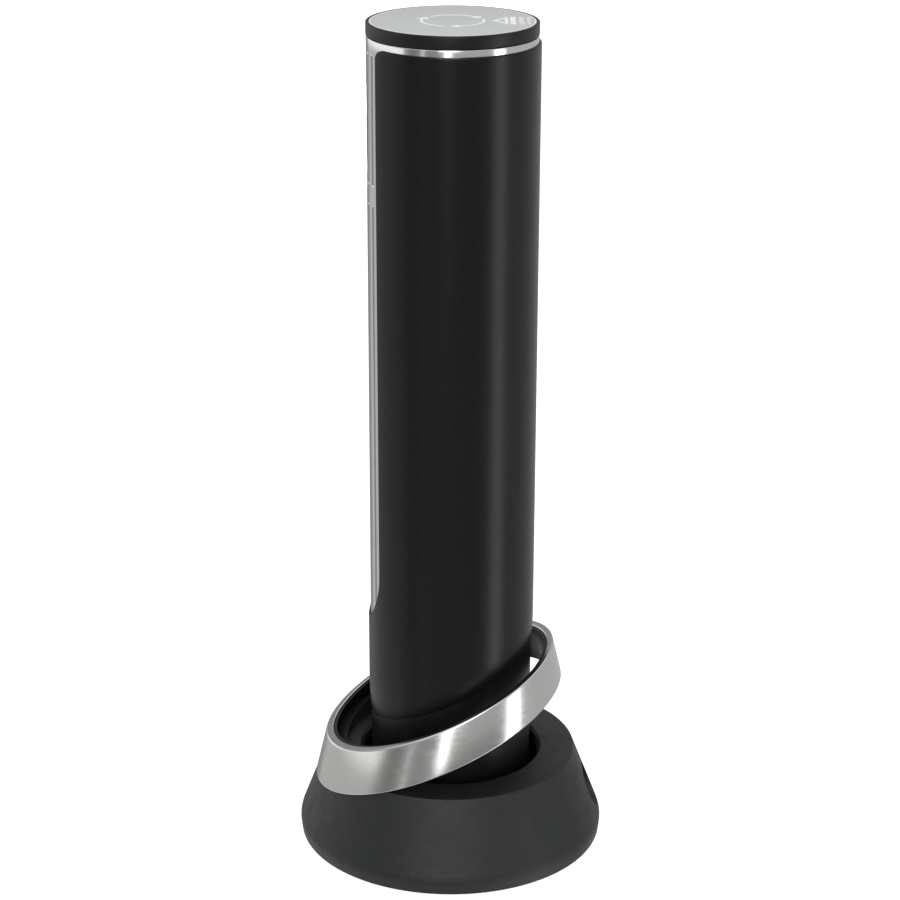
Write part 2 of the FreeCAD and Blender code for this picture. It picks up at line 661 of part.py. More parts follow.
# ---- bottle guide, cork sleeve and worm ----
def make_guide_parts():
    outer = tube_radius
    cavity_out = outer - guide_wall
    cavity_in = bottle_bore_radius + guide_wall
    top = tube_low_z + guide_spigot
    spigot = tube_inner_radius - fit_gap
    guide = turned([
        (bottle_bore_radius + bore_lead_in, guide_low_z), (outer - 0.6, guide_low_z), (outer, guide_low_z + 0.6),
        (outer, tube_low_z), (spigot, tube_low_z), (spigot, top), (spigot - guide_wall * 0.7, top),
        (spigot - guide_wall * 0.7, tube_low_z), (cavity_out, tube_low_z - guide_wall),
        (cavity_out, guide_low_z + guide_web), (cavity_in, guide_low_z + guide_web),
        (cavity_in, stop_z + guide_web), (cork_bore_radius, stop_z + guide_web), (cork_bore_radius, stop_z),
        (bottle_bore_radius, stop_z), (bottle_bore_radius, guide_low_z + bore_lead_in),
    ])
    for x, y in pin_places:
        guide = guide.cut(cyl(pad_radius, guide_low_z - 1.0, guide_low_z + pad_thickness, x, y))
        guide = guide.cut(cyl(lead_radius + fit_gap, guide_low_z, guide_low_z + guide_web + 1.0, x, y))
    # four webs between the two walls
    for i in range(4):
        web = block(cavity_in - 0.2, cavity_out + 0.2, -0.7, 0.7, guide_low_z + guide_web - 0.2, tube_low_z - 8.0)
        web.rotate(V(0, 0, 0), V(0, 0, 1), 45.0 + 90.0 * i)
        upright = web.common(cyl(tube_radius - 0.5, 0.0, far))
        guide = guide.fuse(upright)
    save("bottle_guide", guide.removeSplitter())
    pad_low = guide_low_z
    save("charge_pads", *[cyl(pad_radius, pad_low, pad_low + pad_thickness, x, y) for x, y in pin_places])
    lead_top = tray_top_z + 6.0
    save("charge_leads", *[cyl(lead_radius, pad_low + pad_thickness, lead_top, x, y) for x, y in pin_places])
    sleeve_low = stop_z + guide_web
    sleeve_out = cork_bore_radius + cork_wall
    flange_low = box_low_z - guide_web
    sleeve = tube(sleeve_out, cork_bore_radius, sleeve_low, box_low_z)
    sleeve = sleeve.fuse(tube(box_outer_radius, cork_bore_radius, flange_low, box_low_z))
    for i in range(cork_rib_count):
        rib = block(cork_bore_radius - cork_rib, cork_bore_radius + 0.2, -0.5, 0.5, sleeve_low, flange_low - 12.0)
        rib.rotate(V(0, 0, 0), V(0, 0, 1), 360.0 * i / cork_rib_count)
        sleeve = sleeve.fuse(rib)
    for x, y in gearbox_screw_places():
        sleeve = sleeve.cut(cyl(small_screw_radius + fit_gap, flange_low - 1.0, box_low_z + 1.0, x, y))
    save("cork_sleeve", sleeve.removeSplitter())
    worm = coil(worm_wire_radius, worm_helix_radius, worm_pitch, worm_turns, worm_tip_z)
    point = Part.makeBox(20.0, 20.0, 20.0, V(0, -10.0, -20.0))
    point.rotate(V(0, 0, 0), V(0, 1, 0), -35.0)
    point.translate(V(worm_helix_radius - worm_wire_radius, 0, worm_tip_z + 0.4))
    worm = worm.cut(point)
    boss = cyl(worm_boss_radius, worm_helix_top, hub_low_z).fuse(cyl(worm_stub_radius, hub_low_z, output_low_z))
    worm = worm.fuse(boss)
    worm = max(worm.Solids, key=lambda s: s.Volume)
    save("worm", worm)


# ---- tube and sleeve ----
def front_sector(radius_out, radius_in, angle, width, z0, z1):
    """Upright bar that cuts the front wall at an angle from -Y, with round ends."""
    bar = block(-width / 2.0, width / 2.0, -radius_out, -radius_in, z0 + width / 2.0, z1 - width / 2.0)
    for z in (z0 + width / 2.0, z1 - width / 2.0):
        bar = bar.fuse(rod_y(width / 2.0, -radius_out, -radius_in, 0.0, z))
    bar.rotate(V(0, 0, 0), V(0, 0, 1), angle)
    return bar


def rocker_cut(gap, y0, y1):
    """Upright slot of the rocker's outline, larger by a gap, between two depths."""
    half = rocker_half_width + gap
    z0 = rocker_z - rocker_height / 2.0 - gap
    z1 = rocker_z + rocker_height / 2.0 + gap
    slot = block(-half, half, y0, y1, z0 + half, z1 - half)
    for z in (z0 + half, z1 - half):
        slot = slot.fuse(rod_y(half, y0, y1, 0.0, z))
    return slot.removeSplitter()


def make_skin_parts():
    skin = tube(tube_radius, tube_inner_radius, tube_low_z, tube_top_z)
    for angle, width in zip(flute_angles, flute_widths):
        for z0, z1 in flute_spans:
            flute = front_sector(tube_radius + 5.0, tube_radius - flute_depth, angle, width, z0, z1)
            skin = skin.cut(flute)
    skin = skin.cut(rocker_cut(rocker_gap, -tube_radius - 2.0, -tube_inner_radius + 2.0))
    skin = skin.cut(rod_y(light_radius + fit_gap, -tube_radius - 1.0, -15.0, 0.0, light_z))
    save("steel_tube", skin.removeSplitter())
    z0 = sleeve_cut_z - ring_slope * sleeve_top_radius - 2.0
    inner = tube_radius + sleeve_gap
    edge = min(sleeve_edge, (sleeve_low_radius - inner) * 0.6)
    sleeve = turned([(inner, z0), (sleeve_low_radius, z0), (sleeve_top_radius, sleeve_top_z - edge),
                     (sleeve_top_radius - edge, sleeve_top_z), (inner, sleeve_top_z)])
    sleeve.rotate(V(0, 0, 0), V(0, 0, 1), 90.0)
    sleeve = sleeve.common(above_slant(sleeve_cut_z, ring_slope))
    # opening over the metal front: straight sides, half-oval lower end, open at the top
    half = window_half_width
    middle = window_low_z + window_arch
    window = block(-half, half, -40.0, 0.0, middle, sleeve_top_z + 5.0)
    oval = Part.Ellipse(V(0, 0, middle + window_arch), V(half, 0, middle), V(0, 0, middle)).toShape()
    window = window.fuse(Part.Face(Part.Wire([oval])).extrude(V(0, -40.0, 0)))
    for side in (-1.0, 1.0):
        x = side * (half + window_corner)
        corner = block(min(side * half, x), max(side * half, x), -40.0, 0.0, sleeve_top_z - window_corner,
                       sleeve_top_z + 5.0)
        window = window.fuse(corner.cut(rod_y(window_corner, -41.0, 1.0, x, sleeve_top_z - window_corner)))
    sleeve = sleeve.cut(window)
    save("outer_sleeve", sleeve.removeSplitter())


# ---- inner housing, cells and board ----
def make_inner_parts():
    top = seat_low_z - 0.1
    housing = tube(housing_outer_radius, housing_inner_radius, housing_low_z, top)
    flange_low = box_low_z - guide_web
    for angle in (25.0, 155.0, 205.0, 335.0):
        rib = block(box_outer_radius + fit_gap, housing_inner_radius + 0.3, -2.0, 2.0, flange_low, motor_low_z)
        rib.rotate(V(0, 0, 0), V(0, 0, 1), angle)
        housing = housing.fuse(rib.cut(cyl(box_outer_radius + fit_gap, 0.0, far)))
        shelf = block(housing_inner_radius - 2.5, housing_inner_radius + 0.3, -2.0, 2.0, tray_low_z - 2.0, tray_low_z)
        shelf.rotate(V(0, 0, 0), V(0, 0, 1), angle)
        housing = housing.fuse(shelf)
    slot_low = light_z - light_radius - 1.0
    housing = housing.cut(block(-5.0, 5.0, -30.0, -15.0, slot_low, top + 1.0))
    housing = housing.cut(rod_x(rocker_pin_radius, -6.5, 6.5, rocker_pin_y, rocker_z))
    housing = housing.removeSplitter()
    for name, x0, x1 in (("left", -40.0, 0.0), ("right", 0.0, 40.0)):
        half = housing.common(block(x0, x1, -40.0, 40.0, 0.0, far))
        save("inner_housing_" + name, max(half.Solids, key=lambda s: s.Volume))
    tray = cyl(housing_inner_radius - fit_gap, tray_low_z, tray_top_z)
    for x, y in pin_places:
        tray = tray.cut(cyl(lead_radius + fit_gap, tray_low_z - 1.0, tray_top_z + 1.0, x, y))
    save("cell_tray", tray)
    half = cell_pitch / 2.0
    gap = cell_pitch - 2.0 * cell_radius
    web = gap * 0.6
    cross = block(-web / 2.0, web / 2.0, -14.0, 14.0, tray_top_z, cell_top_z)
    cross = cross.fuse(block(-14.0, 14.0, -web / 2.0, web / 2.0, tray_top_z, cell_top_z))
    cross = cross.cut(block(-half - 3.0, half + 3.0, -half - 3.0, half + 3.0, tray_top_z - 1.0, cell_low_z))
    cross = cross.fuse(block(-web / 2.0, web / 2.0, -1.0, 1.0, tray_top_z, cell_low_z + 1.0))
    save("cell_divider", cross.removeSplitter())
    places = [(half, half), (-half, half), (-half, -half), (half, -half)]
    for i, (x, y) in enumerate(places):
        up = i % 2 == 0
        body_low = cell_low_z if up else cell_low_z + 1.0
        cell = cyl(cell_radius, body_low, body_low + cell_length - 1.0, x, y)
        nub_low = cell_top_z - 1.1 if up else cell_low_z
        save("cell_%d" % (i + 1), cell.fuse(cyl(2.6, nub_low, nub_low + 1.1, x, y)).removeSplitter())
    links = []
    for x in (-half, half):
        links.append(block(x - 3.0, x + 3.0, -half - 3.0, -1.2, tray_top_z, cell_low_z))
        links.append(block(x - 3.0, x + 3.0, 1.2, half + 3.0, tray_top_z, cell_low_z))
    links.append(block(-half - 3.0, half + 3.0, half - 3.0, half + 3.0, cell_top_z, cell_top_z + link_thickness))
    links.append(block(-half - 3.0, half + 3.0, -half - 3.0, -half + 3.0, cell_top_z, cell_top_z + link_thickness))
    save("cell_links", *links)
    board = block(-board_half_width, board_half_width, board_face_y, board_face_y + board_thickness,
                  tray_top_z, seat_low_z - 0.3)
    save("control_board", board)
    plunger_y = rocker_back_y() + press_gap
    switches = []
    for side in (-1.0, 1.0):
        z = rocker_z + side * switch_offset
        body = block(-3.0, 3.0, board_face_y - 1.6, board_face_y, z - 3.0, z + 3.0)
        switches.append(body.fuse(rod_y(1.6, plunger_y, board_face_y - 1.0, 0.0, z)).removeSplitter())
    save("tact_switches", *switches)
    save("light_pipe", rod_y(light_radius, -tube_radius + 0.1, board_face_y, 0.0, light_z))


def rocker_back_y():
    """Plane of the rocker's back."""
    return -(tube_radius - rocker_set_back) + rocker_thickness


def make_control_parts():
    face = cyl(tube_radius - rocker_set_back, rocker_z - rocker_height, rocker_z + rocker_height)
    key = rocker_cut(0.0, -tube_radius - 2.0, rocker_back_y()).common(face)
    boss_half = rocker_half_width - 0.5
    boss = rod_x(rocker_pin_radius + 0.9, -boss_half, boss_half, rocker_pin_y, rocker_z)
    boss = boss.fuse(block(-boss_half, boss_half, rocker_back_y() - 0.5, rocker_pin_y,
                           rocker_z - rocker_pin_radius - 0.9, rocker_z + rocker_pin_radius + 0.9))
    key = key.fuse(boss).cut(rod_x(rocker_pin_radius + running_gap, -20.0, 20.0, rocker_pin_y, rocker_z))
    # finger dish above and below the middle
    for side in (-1.0, 1.0):
        z = rocker_z + side * rocker_height * 0.28
        dish = Part.makeSphere(14.0, V(0, -tube_radius - 13.5, z))
        key = key.cut(dish)
    save("rocker_key", key.removeSplitter())
    save("rocker_pin", rod_x(rocker_pin_radius, -6.4, 6.4, rocker_pin_y, rocker_z))
    # cap and its seat
    groove_low = tube_top_z - cap_spigot_depth - 0.3
    lug_low = groove_low + cap_turn_gap
    seat = tube(housing_outer_radius, cap_spigot_radius + cap_turn_gap, seat_low_z, tube_top_z - 0.1)
    groove = tube(cap_spigot_radius + cap_lug_reach + cap_turn_gap, cap_spigot_radius,
                  groove_low, groove_low + cap_lug_height + 2.0 * cap_turn_gap)
    seat = seat.cut(groove)
    for angle in (60.0, 240.0):
        entry = block(0.0, cap_spigot_radius + cap_lug_reach + cap_turn_gap, -4.0, 4.0, groove_low, tube_top_z + 1.0)
        entry = entry.cut(cyl(cap_spigot_radius, 0.0, far))
        entry = entry.common(cyl(cap_spigot_radius + cap_lug_reach + cap_turn_gap, 0.0, far))
        entry.rotate(V(0, 0, 0), V(0, 0, 1), angle)
        seat = seat.cut(entry)
    save("cap_seat", seat.removeSplitter())
    cap_low = overall_height - cap_height
    cap = cyl(cap_radius, cap_low, overall_height)
    edge = [e for e in cap.Edges if e.BoundBox.ZMin > overall_height - 0.1 and e.BoundBox.ZLength < 0.1]
    cap = cap.makeFillet(0.35, edge)
    cap = cap.fuse(tube(cap_spigot_radius, cap_spigot_radius - 2.0, lug_low, cap_low + 0.5))
    for angle in (0.0, 180.0):
        lug = block(cap_spigot_radius - 1.0, cap_spigot_radius + cap_lug_reach, -3.5, 3.5, lug_low,
                    lug_low + cap_lug_height)
        lug = lug.common(cyl(cap_spigot_radius + cap_lug_reach, 0.0, far))
        lug.rotate(V(0, 0, 0), V(0, 0, 1), angle)
        cap = cap.fuse(lug)
    cap = cap.cut(cyl(label_radius, overall_height - label_thickness, overall_height + 1.0))
    save("turning_cap", cap.removeSplitter())
    save("cap_disc", cyl(label_radius - fit_gap, overall_height - label_thickness, overall_height))


os.makedirs("parts", exist_ok=True)
make_stand_parts()
make_gearbox_parts()
make_motor_parts()
make_guide_parts()
make_skin_parts()
make_inner_parts()
make_control_parts()
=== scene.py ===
"""Looks of the cordless wine opener in its charging stand.

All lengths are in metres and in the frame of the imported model.  Driving sizes come from the CAD boxes;
the ones that a box cannot give, such as a slant or a rounding, are named below.
"""
import json
import math

import bmesh
import bpy
import numpy as np
from mathutils import Matrix, Vector


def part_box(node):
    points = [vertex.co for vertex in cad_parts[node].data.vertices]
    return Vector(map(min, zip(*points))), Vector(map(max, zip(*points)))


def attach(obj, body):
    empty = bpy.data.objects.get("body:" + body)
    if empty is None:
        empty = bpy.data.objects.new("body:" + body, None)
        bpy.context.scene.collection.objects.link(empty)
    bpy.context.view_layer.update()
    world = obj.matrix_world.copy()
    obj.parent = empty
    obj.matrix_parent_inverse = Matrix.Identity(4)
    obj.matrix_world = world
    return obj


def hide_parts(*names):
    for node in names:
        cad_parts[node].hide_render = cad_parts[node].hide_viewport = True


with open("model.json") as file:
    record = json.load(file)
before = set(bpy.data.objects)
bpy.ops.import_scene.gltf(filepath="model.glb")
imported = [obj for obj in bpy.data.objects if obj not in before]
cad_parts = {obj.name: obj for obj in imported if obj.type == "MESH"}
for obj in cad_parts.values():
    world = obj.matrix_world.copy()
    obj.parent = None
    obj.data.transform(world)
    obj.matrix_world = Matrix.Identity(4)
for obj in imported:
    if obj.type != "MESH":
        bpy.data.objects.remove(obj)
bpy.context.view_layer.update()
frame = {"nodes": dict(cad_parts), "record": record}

MM = 0.001


# ---------------------------------------------------------------- colours and node trees
def linear(hex_colour):
    """sRGB hex to the linear colour that a shader socket takes."""
    values = [int(hex_colour[i:i + 2], 16) / 255.0 for i in (1, 3, 5)]
    toned = [v / 12.92 if v <= 0.04045 else ((v + 0.055) / 1.055) ** 2.4 for v in values]
    return (*toned, 1.0)


def add_node(tree, kind, settings=None, values=None, links=None):
    """Adds one node, sets its properties and socket values, and links its inputs."""
    made = tree.nodes.new(kind)
    for name, value in (settings or {}).items():
        setattr(made, name, value)
    for name, value in (values or {}).items():
        made.inputs[name].default_value = value
    for name, socket in (links or {}).items():
        tree.links.new(socket, made.inputs[name])
    return made


def new_material(name, metallic=0.0, roughness=0.5, colour="#808080", **sockets):
    """A material with one Principled shader; the sockets are set on the shader itself."""
    mat = bpy.data.materials.new(name)
    mat.use_nodes = True
    tree = mat.node_tree
    tree.nodes.clear()
    values = {"Metallic": metallic, "Roughness": roughness, "Base Color": linear(colour)}
    values.update({k.replace("_", " "): v for k, v in sockets.items()})
    shader = add_node(tree, "ShaderNodeBsdfPrincipled", values=values)
    add_node(tree, "ShaderNodeOutputMaterial", links={"Surface": shader.outputs["BSDF"]})
    mat.diffuse_color = linear(colour)
    return mat, tree, shader


def object_point(tree, stretch=(1.0, 1.0, 1.0)):
    """Object coordinates, stretched along the axes."""
    where = add_node(tree, "ShaderNodeTexCoord")
    return add_node(tree, "ShaderNodeMapping", values={"Scale": stretch},
                    links={"Vector": where.outputs["Object"]}).outputs["Vector"]


def surface_grain(tree, shader, grain_mm, bump_mm, colours=None, rough=None, stretch=(1, 1, 1), detail=3.0):
    """Fine noise of a real grain size drives the bump and the colour; a wider noise drives the roughness."""
    point = object_point(tree, stretch)
    noise = add_node(tree, "ShaderNodeTexNoise", {"noise_dimensions": "3D"},
                     {"Scale": 1.0 / (grain_mm * MM), "Detail": detail, "Roughness": 0.55}, {"Vector": point})
    if bump_mm:
        bump = add_node(tree, "ShaderNodeBump", values={"Strength": 1.0, "Distance": bump_mm * MM},
                        links={"Height": noise.outputs["Fac"]})
        tree.links.new(bump.outputs["Normal"], shader.inputs["Normal"])
    if colours:
        ramp = add_node(tree, "ShaderNodeValToRGB", links={"Fac": noise.outputs["Fac"]})
        ramp.color_ramp.elements[0].position = 0.3
        ramp.color_ramp.elements[0].color = linear(colours[0])
        ramp.color_ramp.elements[1].position = 0.7
        ramp.color_ramp.elements[1].color = linear(colours[1])
        tree.links.new(ramp.outputs["Color"], shader.inputs["Base Color"])
    if rough:
        wide = add_node(tree, "ShaderNodeTexNoise", {"noise_dimensions": "3D"},
                        {"Scale": 1.0 / (grain_mm * 12.0 * MM), "Detail": 2.0}, {"Vector": point})
        spread = add_node(tree, "ShaderNodeMapRange",
                          values={"From Min": 0.3, "From Max": 0.7, "To Min": rough[0], "To Max": rough[1]},
                          links={"Value": wide.outputs["Fac"]})
        tree.links.new(spread.outputs["Result"], shader.inputs["Roughness"])


# ---------------------------------------------------------------- materials, named for the real ones
def spark_textured_abs():
    """Charcoal ABS from a spark-eroded mould: fine even grain that scatters light softly."""
    mat, tree, shader = new_material("spark_textured_abs", roughness=0.5, colour="#1D1F1F",
                                     Specular_IOR_Level=0.42)
    surface_grain(tree, shader, 0.42, 0.12, ("#0D0F0F", "#181A1A"), (0.44, 0.54), detail=4.0)
    return mat


def soft_touch_lacquer():
    """Black soft-touch lacquer on aluminium: nearly smooth, with a wide dull highlight."""
    mat, tree, shader = new_material("soft_touch_lacquer", roughness=0.31, colour="#080909",
                                     Specular_IOR_Level=0.28)
    surface_grain(tree, shader, 0.18, 0.004, ("#070808", "#090A0A"), (0.29, 0.33))
    return mat


def satin_polished_steel():
    """Stainless steel, polished along the ring and left satin: soft stretched reflections."""
    mat, tree, shader = new_material("satin_polished_steel", metallic=1.0, roughness=0.2, colour="#CFCECC",
                                     Anisotropic=0.35)
    surface_grain(tree, shader, 0.09, 0.0012, ("#CBCAC8", "#D4D3D1"), (0.16, 0.23), stretch=(0.12, 0.12, 1.0))
    return mat


def bright_drawn_steel():
    """Bright drawn stainless tube: faint upright drawing lines in a mirror-like skin."""
    mat, tree, shader = new_material("bright_drawn_steel", metallic=1.0, roughness=0.13, colour="#D6D5D3")
    surface_grain(tree, shader, 0.12, 0.0008, ("#D2D1CF", "#DAD9D7"), (0.10, 0.17), stretch=(1.0, 1.0, 0.04))
    return mat


def satin_black_abs():
    """Black ABS from a satin mould, a little smoother than the stand."""
    mat, tree, shader = new_material("satin_black_abs", roughness=0.38, colour="#0A0B0B",
                                     Specular_IOR_Level=0.32)
    surface_grain(tree, shader, 0.3, 0.008, ("#090A0A", "#0D0E0E"), (0.34, 0.42))
    return mat


def printed_polycarbonate():
    """Cool grey printed polycarbonate disc with a fine satin hard coat."""
    mat, tree, shader = new_material("printed_polycarbonate", roughness=0.38, colour="#C1C4C4",
                                     Specular_IOR_Level=0.4)
    surface_grain(tree, shader, 0.2, 0.002, ("#BFC2C2", "#C3C6C6"), (0.34, 0.42))
    return mat


def white_print():
    """White screen-printing ink: slightly raised and dull."""
    mat, tree, shader = new_material("white_print", roughness=0.5, colour="#F2F2F0")
    surface_grain(tree, shader, 0.25, 0.003, ("#EEEEEC", "#F6F6F4"))
    return mat


def grey_print():
    """White ink in a coarse screen, which lets the grey disc show through."""
    mat, tree, shader = new_material("grey_print", roughness=0.5, colour="#DCDEDD")
    surface_grain(tree, shader, 0.25, 0.003, ("#D6D8D8", "#E2E4E3"))
    return mat


def moulded_rubber():
    """Dull black rubber with a chalky bloom in patches."""
    mat, tree, shader = new_material("moulded_rubber", roughness=0.85, colour="#1E1E1E")
    surface_grain(tree, shader, 0.6, 0.02, ("#1A1A1A", "#262626"), (0.78, 0.92))
    return mat


def zinc_plated_steel():
    """Zinc-plated screws: pale, slightly blue and mottled."""
    mat, tree, shader = new_material("zinc_plated_steel", metallic=1.0, roughness=0.3, colour="#C2C5C9")
    surface_grain(tree, shader, 0.35, 0.003, ("#B4B9C2", "#CDCBC4"), (0.24, 0.38))
    return mat


def coated_tool_steel():
    """Hardened wire with a dark grey non-stick coat, a little worn to steel."""
    mat, tree, shader = new_material("coated_tool_steel", metallic=0.85, roughness=0.32, colour="#55575A")
    surface_grain(tree, shader, 0.5, 0.01, ("#3F4144", "#6C6E70"), (0.26, 0.42))
    return mat


def solder_mask():
    """Green glass-epoxy board under solder mask; the weave shows faintly."""
    mat, tree, shader = new_material("solder_mask", roughness=0.3, colour="#124A2A", Coat_Weight=0.4)
    surface_grain(tree, shader, 0.5, 0.01, ("#0F4024", "#165634"), (0.24, 0.36), stretch=(1.0, 0.4, 1.0))
    return mat


def drawn_spring_wire():
    """Bright drawn spring wire."""
    mat, tree, shader = new_material("drawn_spring_wire", metallic=1.0, roughness=0.25, colour="#B9BBBD")
    surface_grain(tree, shader, 0.1, 0.001, ("#ADB0B3", "#C4C5C6"))
    return mat


def gold_flashed_brass():
    """Brass contacts under a thin gold flash."""
    mat, tree, shader = new_material("gold_flashed_brass", metallic=1.0, roughness=0.22, colour="#D9B65E")
    surface_grain(tree, shader, 0.15, 0.001, ("#D0AA50", "#E2C06C"), (0.18, 0.28))
    return mat


def white_acetal():
    """Milky moulded acetal gears, slightly waxy."""
    mat, tree, shader = new_material("white_acetal", roughness=0.35, colour="#E4E1D6",
                                     Subsurface_Weight=0.15, Subsurface_Scale=0.002)
    surface_grain(tree, shader, 0.3, 0.003, ("#DFDCD0", "#E9E6DC"))
    return mat


def sintered_steel():
    """Pressed and sintered steel: dark, with open pores."""
    mat, tree, shader = new_material("sintered_steel", metallic=1.0, roughness=0.42, colour="#7C7D7E")
    surface_grain(tree, shader, 0.12, 0.006, ("#6A6B6C", "#8C8D8E"), (0.36, 0.5))
    return mat


def oiled_bronze():
    """Oil-soaked sintered bronze bush."""
    mat, tree, shader = new_material("oiled_bronze", metallic=1.0, roughness=0.36, colour="#A4743C")
    surface_grain(tree, shader, 0.12, 0.005, ("#8E6231", "#B5834A"), (0.3, 0.44))
    return mat


def nickel_plated_steel():
    """Nickel-plated motor can and shafts, faintly rolled."""
    mat, tree, shader = new_material("nickel_plated_steel", metallic=1.0, roughness=0.28, colour="#BDBAB2")
    surface_grain(tree, shader, 0.25, 0.002, ("#B3B0A8", "#C8C5BD"), (0.22, 0.34), stretch=(1.0, 1.0, 0.1))
    return mat


def ground_ferrite():
    """Ground ferrite magnets: dark grey ceramic with a grinding haze."""
    mat, tree, shader = new_material("ground_ferrite", roughness=0.5, colour="#2A2B2D")
    surface_grain(tree, shader, 0.2, 0.004, ("#232426", "#333437"), (0.42, 0.58), stretch=(1.0, 1.0, 0.3))
    return mat


def enamelled_windings():
    """Enamelled copper winding wire; the wires run along the core, half a millimetre apart."""
    mat, tree, shader = new_material("enamelled_windings", metallic=0.9, roughness=0.3, colour="#A4552A",
                                     Coat_Weight=0.5)
    point = object_point(tree)
    wires = add_node(tree, "ShaderNodeTexWave", {"wave_type": "BANDS", "bands_direction": "X"},
                     {"Scale": 2.0 * math.pi / (0.5 * MM) / 20.0, "Distortion": 0.4}, {"Vector": point})
    bump = add_node(tree, "ShaderNodeBump", values={"Strength": 1.0, "Distance": 0.08 * MM},
                    links={"Height": wires.outputs["Fac"]})
    tree.links.new(bump.outputs["Normal"], shader.inputs["Normal"])
    ramp = add_node(tree, "ShaderNodeValToRGB", links={"Fac": wires.outputs["Fac"]})
    ramp.color_ramp.elements[0].color = linear("#7A3A1A")
    ramp.color_ramp.elements[1].color = linear("#B8663A")
    tree.links.new(ramp.outputs["Color"], shader.inputs["Base Color"])
    return mat


def insulated_wire():
    """Glossy red PVC insulation."""
    mat, tree, shader = new_material("insulated_wire", roughness=0.35, colour="#A01818")
    surface_grain(tree, shader, 0.3, 0.003, ("#961414", "#AA1D1D"))
    return mat


def glass_filled_nylon():
    """Dark grey glass-filled nylon: a slightly fibrous, blotchy skin."""
    mat, tree, shader = new_material("glass_filled_nylon", roughness=0.55, colour="#46484A")
    surface_grain(tree, shader, 0.5, 0.012, ("#404244", "#4E5052"), (0.48, 0.62), stretch=(1.0, 1.0, 0.4))
    return mat


def shrink_sleeve():
    """Thin glossy shrink sleeve on the cells."""
    mat, tree, shader = new_material("shrink_sleeve", roughness=0.2, colour="#1F6F78", Coat_Weight=0.3)
    surface_grain(tree, shader, 1.5, 0.01, ("#1B656E", "#237A84"))
    return mat


def nickel_strip():
    """Bright spot-welded nickel strip."""
    mat, tree, shader = new_material("nickel_strip", metallic=1.0, roughness=0.2, colour="#C9C6BE")
    surface_grain(tree, shader, 0.2, 0.002, ("#BFBCB4", "#D2CFC7"), (0.16, 0.26), stretch=(0.1, 1.0, 1.0))
    return mat


def clear_acrylic():
    """Clear acrylic light pipe with a frosted end."""
    mat, tree, shader = new_material("clear_acrylic", roughness=0.12, colour="#E8F2F5",
                                     Transmission_Weight=0.85, IOR=1.49)
    surface_grain(tree, shader, 0.2, 0.002)
    return mat


FINISHES = {
    "stand_abs": spark_textured_abs, "ring_steel": satin_polished_steel, "tube_steel": bright_drawn_steel,
    "soft_black": soft_touch_lacquer, "black_abs": satin_black_abs, "cap_abs": satin_black_abs,
    "disc_grey": printed_polycarbonate, "rubber": moulded_rubber, "zinc_steel": zinc_plated_steel,
    "tool_steel": coated_tool_steel, "board_green": solder_mask, "spring_steel": drawn_spring_wire,
    "contact_brass": gold_flashed_brass, "acetal_white": white_acetal, "sintered_steel": sintered_steel,
    "oil_bronze": oiled_bronze, "motor_steel": nickel_plated_steel, "ferrite": ground_ferrite,
    "winding_copper": enamelled_windings, "lead_red": insulated_wire, "housing_grey": glass_filled_nylon,
    "cell_wrap": shrink_sleeve, "nickel_strip": nickel_strip, "clear_lens": clear_acrylic,
}
made_finishes = {}


def finish_of(slot):
    """The material of a record slot, made once."""
    maker = FINISHES[slot]
    if maker not in made_finishes:
        made_finishes[maker] = maker()
    return made_finishes[maker]


def dress_cad_nodes():
    """Gives every CAD node the material of its slot in the record."""
    for entry in frame["record"]["subparts"]:
        node = frame["nodes"][entry["node"]]
        mat = finish_of(entry["material_slot"])
        node.data.materials.clear()
        node.data.materials.append(mat)


# ---------------------------------------------------------------- surfaces
def wrapped_faces(rows, columns, close_rows):
    """Quads of a grid whose columns close on themselves, and whose rows do too if asked."""
    last = rows if close_rows else rows - 1
    r, c = np.meshgrid(np.arange(last), np.arange(columns), indexing="ij")
    r2 = (r + 1) % rows
    c2 = (c + 1) % columns
    quads = np.stack([r * columns + c, r * columns + c2, r2 * columns + c2, r2 * columns + c], -1)
    return quads.reshape(-1, 4)


def piece(name, points, faces, body, slot, replaces, sharp_degrees):
    """Makes a closed mesh piece from arrays, merges its seams, and hangs it on a body."""
    mesh = bpy.data.meshes.new(name)
    mesh.from_pydata(points.reshape(-1, 3).tolist(), [], faces.tolist())
    work = bmesh.new()
    work.from_mesh(mesh)
    bmesh.ops.remove_doubles(work, verts=work.verts, dist=1e-7)
    bmesh.ops.recalc_face_normals(work, faces=work.faces)
    work.to_mesh(mesh)
    work.free()
    mesh.polygons.foreach_set("use_smooth", np.ones(len(mesh.polygons), bool))
    mesh.set_sharp_from_angle(angle=math.radians(sharp_degrees))
    obj = bpy.data.objects.new(name, mesh)
    bpy.context.scene.collection.objects.link(obj)
    mesh.materials.append(finish_of(slot))
    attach(obj, body)
    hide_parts(*replaces)


def rounded_outline(corners, steps=6):
    """Closed outline through (a, b, radius) corners, each rounded by an arc tangent to both of its sides."""
    made = []
    count = len(corners)
    for i, (a, b, radius) in enumerate(corners):
        here = np.array([a, b])
        back = np.array(corners[i - 1][:2]) - here
        ahead = np.array(corners[(i + 1) % count][:2]) - here
        u = back / np.linalg.norm(back)
        v = ahead / np.linalg.norm(ahead)
        if radius <= 0.0:
            made.append(here)
            continue
        half = math.acos(np.clip(np.dot(u, v), -1.0, 1.0)) / 2.0
        reach = radius / math.tan(half)
        middle = here + (u + v) / np.linalg.norm(u + v) * radius / math.sin(half)
        start = here + u * reach - middle
        end = here + v * reach - middle
        turn = math.atan2(start[0] * end[1] - start[1] * end[0], np.dot(start, end))
        for k in range(steps + 1):
            t = turn * k / steps
            c, s = math.cos(t), math.sin(t)
            made.append(middle + np.array([c * start[0] - s * start[1], s * start[0] + c * start[1]]))
    return np.array(made)


